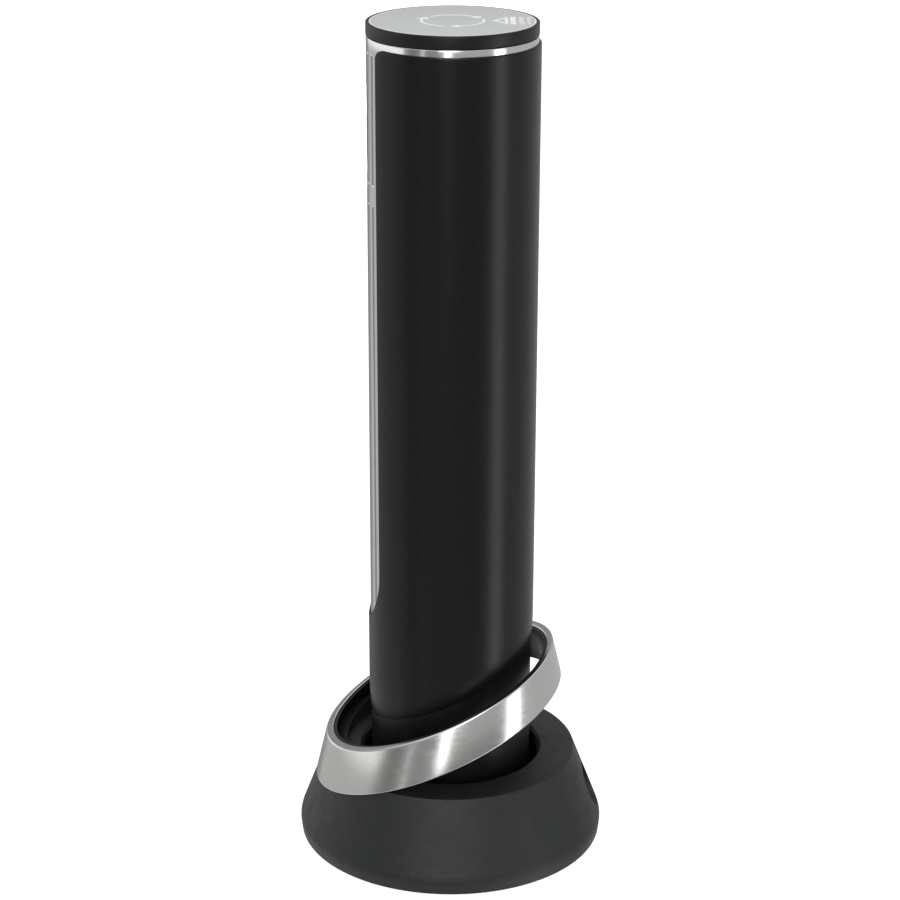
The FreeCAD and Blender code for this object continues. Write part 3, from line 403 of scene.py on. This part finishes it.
def lathe(outline, segments):
    """Points of an outline of (radius, height) turned about the axis: r cos a, r sin a, z."""
    a = np.linspace(0.0, 2.0 * math.pi, segments, endpoint=False)
    r = outline[:, 0][:, None]
    z = outline[:, 1][:, None]
    points = np.stack([r * np.cos(a), r * np.sin(a), z + 0.0 * a], -1)
    return points, wrapped_faces(len(outline), segments, True)


# ---------------------------------------------------------------- sizes from the CAD
tube_low, tube_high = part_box("steel_tube")
sleeve_low, sleeve_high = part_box("outer_sleeve")
cap_low, cap_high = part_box("turning_cap")
disc_low, disc_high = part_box("cap_disc")
rocker_low, rocker_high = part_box("rocker_key")
light_low, light_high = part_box("light_pipe")

SLANT = 0.44                     # rise of ring and sleeve edge towards the rear
RING_LOW = 36.5 * MM             # lower slanted face of the ring, on the axis
RING_RISE = 12.9 * MM
RING_RADIUS = 37.3 * MM          # outer radius at RING_TAPER_Z
RING_TAPER_Z = 37.35 * MM
RING_TAPER = 0.236
RING_WALL = 2.1 * MM
RING_EDGE = 0.5 * MM

TUBE_RADIUS = tube_high.x
TUBE_WALL = 1.0 * MM
TUBE_EDGE = 0.25 * MM            # bevel of the tube's two ends
FLUTE_ANGLES = (-23.3, -14.0, 14.0, 23.3)
FLUTE_WIDTHS = (1.2 * MM, 2.0 * MM, 2.0 * MM, 1.2 * MM)
FLUTE_SPANS = ((206.6 * MM, 244.4 * MM), (68.5 * MM, 201.3 * MM))
FLUTE_DEPTH = 0.7 * MM
POCKET_DEPTH = 2.6 * MM
POCKET_GAP = 0.3 * MM
POCKET_SIDE = 0.12 * MM          # width over which the pocket falls to its depth
POCKET_BACKING = 0.4 * MM        # metal behind the pocket
LIGHT_HOLE_DEPTH = 0.4 * MM
LIGHT_HOLE_GAP = 0.1 * MM
LIGHT_HOLE_SIDE = 0.1 * MM

SLEEVE_CUT = 51.6 * MM           # slanted lower edge of the sleeve, on the axis
SLEEVE_TOP_RADIUS = sleeve_high.x
SLEEVE_LOW_RADIUS = 24.99 * MM
SLEEVE_LIP = 13.0 * MM           # height over which the lower edge turns in
SLEEVE_EDGE = 0.18 * MM
SLEEVE_GAP = 0.04 * MM           # sleeve over tube
SLEEVE_THIN = 0.03 * MM          # wall at the very end of the lip
WINDOW_HALF = 13.0 * MM
WINDOW_CORNER = 3.0 * MM         # rounding of the sleeve's top corners
WINDOW_LOW = 71.5 * MM
WINDOW_ARCH = 17.0 * MM          # height of its half-oval lower end

CAP_HEIGHT = 3.6 * MM
SPIGOT_RADIUS = 20.9 * MM
SPIGOT_WALL = 2.0 * MM
DISC_GAP = 0.03 * MM             # seat over disc
PRINT_THICKNESS = 0.015 * MM     # ink on the disc
PRINT_RING = 8.8 * MM            # middle of the turning arrows' ring
PRINT_LINE = 0.75 * MM
PRINT_HEAD = 1.8 * MM            # half width of an arrowhead
ARROW_SWEEP = 93.0               # degrees of the arc, and of the arc with its head
ARROW_REACH = 110.0
PRINT_TURN = 225.0               # where the first arrow starts, degrees from +X
POINTER_TIP = 11.1 * MM
POINTER_BACK = 15.5 * MM
POINTER_HALF = 5.8 * MM
POINTER_LINE = 0.85 * MM
RIM_LINE = (0.16 * MM, 0.42 * MM)    # its two sides, in from the disc's edge
PRINT_BARS = ((16.1 * MM, 1.6 * MM), (18.6 * MM, 1.4 * MM), (20.9 * MM, 0.9 * MM))
PRINT_BAR_HALF = 5.9 * MM
PRINT_CELL = 2.95 * MM
PRINT_CELL_FILL = 0.44           # half width of a printed block, of its cell

# Soft boxes round the table: azimuth from +X, half width, softness, brightness, and the span of the
# direction's upright component over which it is seen.
SOFT_BOXES = (
    (-6.4, 2.8, 2.2, 3.1, -0.14, 0.28),
    (-4.0, 9.0, 8.0, 4.2, 0.24, 0.9),
    (64.8, 4.6, 4.8, 2.9, -0.9, 0.2),
    (-39.0, 1.2, 2.0, 0.5, -0.9, 0.9),
    (-108.0, 36.0, 10.0, 0.28, -0.9, 0.2),
    (-108.0, 36.0, 10.0, 0.65, -0.1, 0.2),
    (-53.0, 4.0, 3.0, -0.08, -0.9, 0.9),
    (30.0, 26.0, 10.0, 0.2, -0.05, 0.3),
    (128.0, 46.0, 14.0, 0.27, -0.5, 0.2),
)
BOX_EDGE = 0.08                  # softness of a box's upper and lower edge
EVEN_GREY = 0.31
DARKEST = 0.02
OVERHEAD = 0.72
OVERHEAD_SPAN = (0.25, 0.9)
FLOOR_GLOW = 0.5                 # seen in surfaces that lean down
FLOOR_GLOW_SPAN = (-0.47, -0.6)
TABLE_REACH = 6.0
TABLE_GLOW = 0.86

CAMERA_DISTANCE = 0.6891
CAMERA_HEIGHT = 0.3766
CAMERA_PITCH = 0.35105
CAMERA_YAW = -0.0006
CAMERA_ROLL = 0.0027
CAMERA_LENS = 98.65
CAMERA_FILM = 36.0


# ---------------------------------------------------------------- pieces
def slanted_ring():
    """Ring cut from a cone by two slanted planes, with a rounded-rectangle section.

    On the plane z = c + SLANT y, with y = r sin a and r = R0 - k z - inset, the height is
    z = (c + SLANT sin a (R0 - inset)) / (1 + SLANT k sin a).
    """
    outline = rounded_outline([
        (0.0, RING_LOW, RING_EDGE), (RING_WALL, RING_LOW, RING_EDGE),
        (RING_WALL, RING_LOW + RING_RISE, RING_EDGE), (0.0, RING_LOW + RING_RISE, RING_EDGE)], 5)
    a = np.linspace(0.0, 2.0 * math.pi, 288, endpoint=False)
    inset = outline[:, 0][:, None]
    c = outline[:, 1][:, None]
    foot = RING_RADIUS + RING_TAPER * RING_TAPER_Z - inset
    z = (c + SLANT * np.sin(a) * foot) / (1.0 + SLANT * RING_TAPER * np.sin(a))
    r = foot - RING_TAPER * z
    points = np.stack([r * np.cos(a), r * np.sin(a), z], -1)
    piece("slanted_ring", points, wrapped_faces(len(outline), len(a), True), "stand", "ring_steel",
          ("stand_ring",), 60.0)


def fluted_tube():
    """Bright tube whose outer radius is R - depth(angle, height) over the flutes, the rocker's
    pocket and the light.

    A flute's section is a circular hollow, sqrt(1 - (d / half)^2) deep, with round ends.
    """
    fine = np.radians(np.linspace(-32.0, 32.0, 230))
    coarse = np.radians(np.linspace(32.0, 328.0, 150))[1:-1]
    a = np.concatenate([fine, coarse]) - math.pi / 2.0
    edge = TUBE_EDGE
    z_low, z_high = tube_low.z, tube_high.z
    pocket_low = rocker_low.z - POCKET_GAP
    pocket_high = rocker_high.z + POCKET_GAP
    half = (rocker_high.x - rocker_low.x) / 2.0 + POCKET_GAP
    stations = [np.linspace(z_low + edge, z_high - edge, 60)]
    for z0, z1 in FLUTE_SPANS:
        stations += [np.linspace(z0 - 0.1 * MM, z0 + 1.2 * MM, 12),
                     np.linspace(z1 - 1.2 * MM, z1 + 0.1 * MM, 12)]
    for z0, z1 in ((pocket_low - 0.1 * MM, pocket_low + half), (pocket_high - half, pocket_high + 0.1 * MM)):
        stations.append(np.linspace(z0, z1, 34))
    light_z = (light_low.z + light_high.z) / 2.0
    light_half = (light_high.x - light_low.x) / 2.0 + LIGHT_HOLE_GAP
    stations.append(np.linspace(light_z - light_half - 0.1 * MM, light_z + light_half + 0.1 * MM, 26))
    z = np.unique(np.round(np.concatenate(stations), 6))
    turn, height = np.meshgrid(a, z)
    depth = np.zeros_like(turn)
    across = (turn + math.pi / 2.0) * TUBE_RADIUS
    for degrees, width in zip(FLUTE_ANGLES, FLUTE_WIDTHS):
        radius = width / 2.0
        off = across - math.radians(degrees) * TUBE_RADIUS
        for z0, z1 in FLUTE_SPANS:
            past = np.maximum(np.maximum(z0 + radius - height, height - z1 + radius), 0.0)
            d = np.hypot(off, past) / radius
            depth = np.maximum(depth, FLUTE_DEPTH * np.sqrt(np.clip(1.0 - d * d, 0.0, 1.0)))
    past = np.maximum(np.maximum(pocket_low + half - height, height - pocket_high + half), 0.0)
    inside = half - np.hypot(across, past)
    depth = np.maximum(depth, POCKET_DEPTH * np.clip(inside / POCKET_SIDE, 0.0, 1.0))
    inside = light_half - np.hypot(across, height - light_z)
    depth = np.maximum(depth, LIGHT_HOLE_DEPTH * np.clip(inside / LIGHT_HOLE_SIDE, 0.0, 1.0))
    outer_r = TUBE_RADIUS - depth
    outer = np.stack([outer_r * np.cos(turn), outer_r * np.sin(turn), height], -1)
    bore_r = TUBE_RADIUS - TUBE_WALL
    behind_r = TUBE_RADIUS - POCKET_DEPTH - POCKET_BACKING
    rims = [(TUBE_RADIUS - edge * 0.3, z_high - edge * 0.3), (TUBE_RADIUS - edge, z_high),
            (bore_r, z_high), (bore_r, pocket_high + 2.0 * MM),
            (behind_r, pocket_high + 1.0 * MM), (behind_r, pocket_low - 1.0 * MM),
            (bore_r, pocket_low - 2.0 * MM), (bore_r, z_low),
            (TUBE_RADIUS - edge, z_low), (TUBE_RADIUS - edge * 0.3, z_low + edge * 0.3)]
    inner = [np.stack([r * np.cos(a), r * np.sin(a), np.full_like(a, h)], -1) for r, h in rims]
    points = np.concatenate([outer, np.stack(inner)], 0)
    piece("fluted_tube", points, wrapped_faces(len(points), len(a), True), "opener", "tube_steel",
          ("steel_tube",), 50.0)


def outer_sleeve():
    """Black sleeve: an outer and an inner sheet over (height, angle), open at the front over the metal.

    The angle runs from one side of the opening round the back to the other side; below the opening the
    two sides meet.  A row that starts at height h in front lies at z = h + SLANT R (1 + sin a) f, where f
    falls evenly from 1 at the slanted lower edge to 0 at the top.  The lower edge turns in over SLEEVE_LIP:
    at a share s of that height the wall stands out by 1 - (1 - s)^2 of its thickness.
    """
    columns = 241
    top = sleeve_high.z
    front_low = SLEEVE_CUT - SLANT * SLEEVE_LOW_RADIUS
    inner_r = TUBE_RADIUS + SLEEVE_GAP
    lip_r = inner_r + SLEEVE_THIN
    full = WINDOW_LOW + WINDOW_ARCH
    side = np.linspace(-1.0, 1.0, columns)
    angles, heights, outer, inner = [], [], [], []

    def lifted(h, angle):
        return h + SLANT * SLEEVE_LOW_RADIUS * (1.0 + np.sin(angle)) * (top - h) / (top - front_low)

    def half_width(z):
        arch = min(max((full - z) / WINDOW_ARCH, 0.0), 1.0)
        corner = min(max(z - (top - WINDOW_CORNER), 0.0), WINDOW_CORNER)
        return (WINDOW_HALF * math.sqrt(1.0 - arch * arch)
                + WINDOW_CORNER - math.sqrt(WINDOW_CORNER ** 2 - corner ** 2))

    def add_row(h, gap=0.0, lip=1.0, top_inset=0.0):
        angle = -math.pi / 2.0 + gap + (math.pi - gap) * (side + 1.0)
        z = lifted(h, angle)
        share = (z - sleeve_low.z) / (top - sleeve_low.z)
        body = SLEEVE_LOW_RADIUS + (SLEEVE_TOP_RADIUS - SLEEVE_LOW_RADIUS) * share
        angles.append(angle)
        heights.append(z)
        outer.append(lip_r + (body - lip_r) * lip - top_inset)
        inner.append(inner_r + 0.0 * angle)

    for t in np.linspace(0.0, 1.0, 20):
        add_row(front_low + SLEEVE_LIP * t, 0.0, 1.0 - (1.0 - t) ** 2)
    for t in np.linspace(0.0, 1.0, 7)[1:]:
        add_row((front_low + SLEEVE_LIP) * (1.0 - t) + (WINDOW_LOW - 1.0 * MM) * t)
    opening_from = len(angles)
    arc = full - WINDOW_ARCH * np.cos(np.linspace(0.0, math.pi / 2.0, 26))
    corner = top - WINDOW_CORNER * np.cos(np.linspace(0.0, math.pi / 2.0 - 0.25, 8))
    straight = np.linspace(full, corner[0], 26)[1:-1]
    gap = 0.0
    for h in np.concatenate([arc, straight, corner]):
        for _ in range(12):
            gap = math.asin(half_width(float(lifted(h, -math.pi / 2.0 + gap))) / SLEEVE_LOW_RADIUS)
        add_row(h, gap)
    brow = corner[-1]
    for t in (math.pi / 6.0, math.pi / 3.0, math.pi / 2.0):
        h = brow + (top - brow) * math.sin(t)
        gap = math.asin(half_width(min(h, top - 0.05 * MM)) / SLEEVE_LOW_RADIUS)
        add_row(h, gap, 1.0, SLEEVE_EDGE * (1.0 - math.cos(t)))

    a, z = np.stack(angles), np.stack(heights)
    sheets = [np.stack([r * np.cos(a), r * np.sin(a), z], -1) for r in (np.stack(outer), np.stack(inner))]
    rows = len(a)
    step = rows * columns
    r, c = np.meshgrid(np.arange(rows - 1), np.arange(columns - 1), indexing="ij")
    low = (r * columns + c).reshape(-1)
    sheet = np.stack([low, low + 1, low + columns + 1, low + columns], -1)
    c = np.arange(columns - 1)
    brim = (rows - 1) * columns + c
    jamb = np.arange(opening_from, rows - 1) * columns
    far = jamb + columns - 1
    faces = [
        sheet, sheet[:, ::-1] + step,
        np.stack([c + 1, c, c + step, c + step + 1], -1),
        np.stack([brim, brim + 1, brim + step + 1, brim + step], -1),
        np.stack([jamb, jamb + columns, jamb + columns + step, jamb + step], -1),
        np.stack([far + columns, far, far + step, far + columns + step], -1),
    ]
    piece("outer_sleeve_finish", np.concatenate(sheets), np.concatenate(faces), "opener", "soft_black",
          ("outer_sleeve",), 40.0)


def cap_body():
    """Turning cap: a turned disc with rounded edges, a shallow seat for the printed disc, and a spigot."""
    outer, low, high = cap_high.x, disc_high.z - CAP_HEIGHT, cap_high.z
    seat_r = disc_high.x + DISC_GAP
    spigot_bore = SPIGOT_RADIUS - SPIGOT_WALL
    outline = rounded_outline([
        (0.0, low, 0.0), (spigot_bore, low, 0.0), (spigot_bore, cap_low.z, 0.2 * MM),
        (SPIGOT_RADIUS, cap_low.z, 0.3 * MM), (SPIGOT_RADIUS, low, 0.0), (outer, low, 0.3 * MM),
        (outer, high, 0.28 * MM), (seat_r, high, 0.05 * MM), (seat_r, disc_low.z, 0.0),
        (0.0, disc_low.z, 0.0)], 5)
    points, faces = lathe(outline, 240)
    piece("cap_body", points, faces, "cap", "cap_abs", ("turning_cap",), 50.0)


def cap_print():
    """Printed disc with its marks: three arrows chasing round, a pointer and three fading screened bars."""
    top = disc_high.z - PRINT_THICKNESS
    outline = rounded_outline([(0.0, disc_low.z, 0.0), (disc_high.x, disc_low.z, 0.0),
                               (disc_high.x, top, 0.14 * MM), (0.0, top, 0.0)], 4)
    points, faces = lathe(outline, 240)
    piece("cap_disc_print", points, faces, "cap", "disc_grey", ("cap_disc",), 50.0)
    white = white_print()
    for i in range(3):
        print_mark("turn_arrow_%d" % (i + 1), turn_arrow(math.radians(PRINT_TURN + 120.0 * i)), top, white)
    print_mark("pointer", pointer_outline(0.0), top, white, pointer_outline(POINTER_LINE))
    turn = np.linspace(0.0, 2.0 * math.pi, 144, endpoint=False)
    circle = np.stack([np.cos(turn), np.sin(turn)], -1)
    rim_outer, rim_inner = (circle * (disc_high.x - inset) for inset in RIM_LINE)
    print_mark("rim_line", rim_outer, top, white, rim_inner)
    screened = grey_print()
    for i, (start, width) in enumerate(PRINT_BARS):
        count = int(round(2.0 * PRINT_BAR_HALF / PRINT_CELL))
        for k in range(count):
            x = -PRINT_BAR_HALF + (k + 0.5) * PRINT_CELL
            half = PRINT_CELL * PRINT_CELL_FILL
            end = start + width
            corners = [(x - half, start), (x + half, start), (x + half, end), (x - half, end)]
            print_mark("bar_%d_%d" % (i + 1, k + 1), np.array(corners), top, screened if i else white)


def turn_arrow(start):
    """Arc of a ring with an arrowhead: the two sides are circles, the head is a triangle at its end."""
    arc = start - np.linspace(0.0, math.radians(ARROW_SWEEP), 40)
    head = start - math.radians(ARROW_SWEEP)
    tip = start - math.radians(ARROW_REACH)
    a = np.concatenate([arc, [head, tip, head], arc[::-1]])
    r = np.concatenate([
        np.full(len(arc), PRINT_RING + PRINT_LINE / 2.0),
        [PRINT_RING + PRINT_HEAD, PRINT_RING, PRINT_RING - PRINT_HEAD],
        np.full(len(arc), PRINT_RING - PRINT_LINE / 2.0)])
    return np.stack([r * np.cos(a), r * np.sin(a)], -1)


def pointer_outline(inset):
    """Triangle that points at the middle of the cap; the inset draws its open inside."""
    tip = POINTER_TIP + inset * 1.3
    back = POINTER_BACK - inset
    half = (back - tip) * POINTER_HALF / (POINTER_BACK - POINTER_TIP)
    return np.array([(0.0, tip), (half, back), (-half, back)])


def print_mark(name, outline, top, mat, hole=None):
    """A thin closed mark on the disc, PRINT_THICKNESS to each side of top, round a hole of as many points.

    The points are rings: the outline at both heights, then the hole at both heights.
    """
    loops = [outline] if hole is None else [outline, hole]
    count = len(outline)
    heights = (top - PRINT_THICKNESS, top + PRINT_THICKNESS)
    points = np.concatenate([np.column_stack([loop, np.full(count, z)]) for loop in loops for z in heights])
    here = np.arange(count)
    after = (here + 1) % count

    def strip(first, second):
        """Quads between the rings that start at these two points."""
        return np.stack([first + here, first + after, second + after, second + here], -1).tolist()

    faces = []
    for base in range(0, len(points), 2 * count):
        faces += strip(base, base + count)
    if hole is None:
        faces += [here.tolist(), (here + count).tolist()]
    else:
        faces += strip(0, 2 * count) + strip(count, 3 * count)
    mesh = bpy.data.meshes.new(name)
    mesh.from_pydata(points.tolist(), [], faces)
    work = bmesh.new()
    work.from_mesh(mesh)
    bmesh.ops.recalc_face_normals(work, faces=work.faces)
    bmesh.ops.triangulate(work, faces=[f for f in work.faces if len(f.verts) > 4])
    work.to_mesh(mesh)
    work.free()
    obj = bpy.data.objects.new(name, mesh)
    bpy.context.scene.collection.objects.link(obj)
    mesh.materials.append(mat)
    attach(obj, "cap")


# ---------------------------------------------------------------- stage, light and camera
def white_table():
    """Plain white table that glows a little, so that it reads as an even white ground."""
    mesh = bpy.data.meshes.new("table")
    reach = TABLE_REACH
    mesh.from_pydata([(-reach, -reach, 0), (reach, -reach, 0), (reach, reach, 0), (-reach, reach, 0)], [],
                     [(0, 1, 2, 3)])
    table = bpy.data.objects.new("table", mesh)
    bpy.context.scene.collection.objects.link(table)
    mat, tree, shader = new_material("white_table", roughness=0.9, colour="#B4B4B4", Specular_IOR_Level=0.0,
                                     Emission_Color=(1.0, 1.0, 1.0, 1.0), Emission_Strength=TABLE_GLOW)
    mesh.materials.append(mat)
    table.visible_glossy = False


def smooth_step(tree, source, start, end, strength=1.0):
    """A socket that rises smoothly from 0 to strength while the source goes from start to end."""
    return add_node(tree, "ShaderNodeMapRange", {"interpolation_type": "SMOOTHSTEP"},
                    {"From Min": start, "From Max": end, "To Min": 0.0, "To Max": strength},
                    {"Value": source}).outputs["Result"]


def combined(tree, operation, first, second):
    """Sum, product or the like of two sockets, or of a socket and a number."""
    values, links = {}, {0: first}
    (values if isinstance(second, float) else links)[1] = second
    return add_node(tree, "ShaderNodeMath", {"operation": operation}, values, links).outputs["Value"]


def studio_surround():
    """World of the soft boxes in SOFT_BOXES round an even grey, bright overhead and glowing below."""
    world = bpy.data.worlds.new("studio")
    bpy.context.scene.world = world
    world.use_nodes = True
    tree = world.node_tree
    tree.nodes.clear()
    where = add_node(tree, "ShaderNodeTexCoord").outputs["Generated"]
    flat = add_node(tree, "ShaderNodeVectorMath", {"operation": "MULTIPLY"}, {1: (1.0, 1.0, 0.0)}, {0: where})
    unit = add_node(tree, "ShaderNodeVectorMath", {"operation": "NORMALIZE"}, links={0: flat.outputs["Vector"]})
    height = add_node(tree, "ShaderNodeSeparateXYZ", links={"Vector": where}).outputs["Z"]
    total = None
    for azimuth, half, soft, strength, bottom, top in SOFT_BOXES:
        a = math.radians(azimuth)
        toward = add_node(tree, "ShaderNodeVectorMath", {"operation": "DOT_PRODUCT"},
                          {1: (math.cos(a), math.sin(a), 0.0)}, {0: unit.outputs["Vector"]}).outputs["Value"]
        across = smooth_step(tree, toward, math.cos(math.radians(half + soft)), math.cos(math.radians(half)),
                             strength)
        over = smooth_step(tree, height, bottom - BOX_EDGE, bottom + BOX_EDGE)
        under = smooth_step(tree, height, top + BOX_EDGE, top - BOX_EDGE)
        box = combined(tree, "MULTIPLY", across, combined(tree, "MULTIPLY", over, under))
        total = box if total is None else combined(tree, "ADD", total, box)
    total = combined(tree, "ADD", total, smooth_step(tree, height, *OVERHEAD_SPAN, OVERHEAD))
    total = combined(tree, "ADD", total, smooth_step(tree, height, *FLOOR_GLOW_SPAN, FLOOR_GLOW))
    total = combined(tree, "ADD", total, EVEN_GREY)
    total = combined(tree, "MAXIMUM", total, DARKEST)
    shade = add_node(tree, "ShaderNodeBackground", values={"Color": (1.0, 1.0, 1.0, 1.0)},
                     links={"Strength": total})
    add_node(tree, "ShaderNodeOutputWorld", links={"Surface": shade.outputs["Background"]})


def camera_at_the_side():
    """Camera on the +X side, looking slightly down along -X at the stand's axis."""
    data = bpy.data.cameras.new("camera")
    data.lens = CAMERA_LENS
    data.sensor_width = CAMERA_FILM
    data.clip_start = 0.01
    cam = bpy.data.objects.new("camera", data)
    bpy.context.scene.collection.objects.link(cam)
    pitch, roll, yaw = CAMERA_PITCH, CAMERA_ROLL, CAMERA_YAW
    ahead = Vector((-math.cos(yaw) * math.cos(pitch), math.sin(yaw) * math.cos(pitch), -math.sin(pitch)))
    right = Vector((math.sin(yaw), math.cos(yaw), 0.0))
    up = right.cross(ahead)
    x_axis = math.cos(roll) * right + math.sin(roll) * up
    y_axis = -math.sin(roll) * right + math.cos(roll) * up
    turned = Matrix((x_axis, y_axis, -ahead)).transposed().to_4x4()
    cam.matrix_world = Matrix.Translation((CAMERA_DISTANCE, 0.0, CAMERA_HEIGHT)) @ turned
    bpy.context.scene.camera = cam


dress_cad_nodes()
slanted_ring()
fluted_tube()
outer_sleeve()
cap_body()
cap_print()
white_table()
studio_surround()
camera_at_the_side()
bpy.context.scene.view_settings.view_transform = "Standard"
